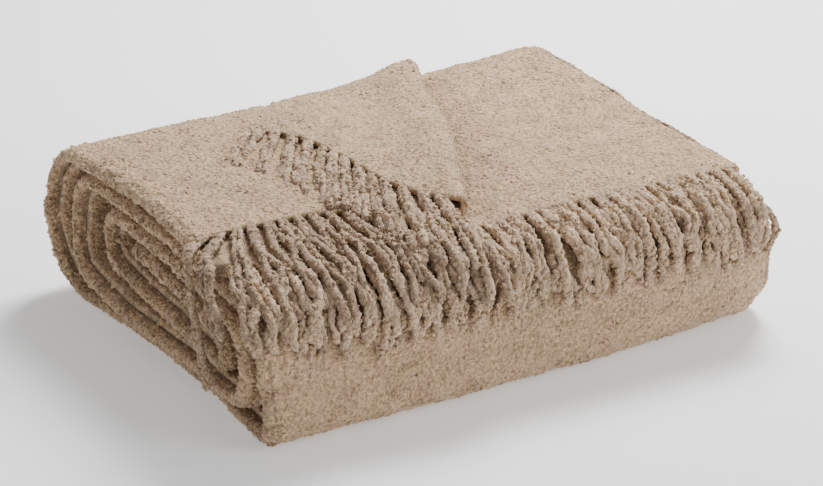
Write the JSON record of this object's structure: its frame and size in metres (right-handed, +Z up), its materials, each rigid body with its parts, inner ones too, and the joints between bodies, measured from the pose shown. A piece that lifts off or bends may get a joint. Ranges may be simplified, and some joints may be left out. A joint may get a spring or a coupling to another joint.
{
  "type": "folded boucle throw",
  "caption": "Boucle wool throw folded into a flat pack, one corner turned back, with a fringe of twisted strands hanging over its front.",
  "frame": {"origin": "middle of the pack's box, on the surface it rests on", "axes": "+X along the pack's long side to its right end, +Y to its back, +Z up"},
  "size_m": [0.486, 0.3976, 0.1469],
  "materials": {
    "boucle_wool": "matt looped boucle yarn, heathered beige",
    "fringe_wool": "matt twisted boucle yarn, a little darker beige"
  },
  "bodies": {
    "root": {"cloth": "boucle_wool", "fringe_left": "fringe_wool", "fringe_turned": "fringe_wool", "fringe_front": "fringe_wool"}
  },
  "joints": []
}
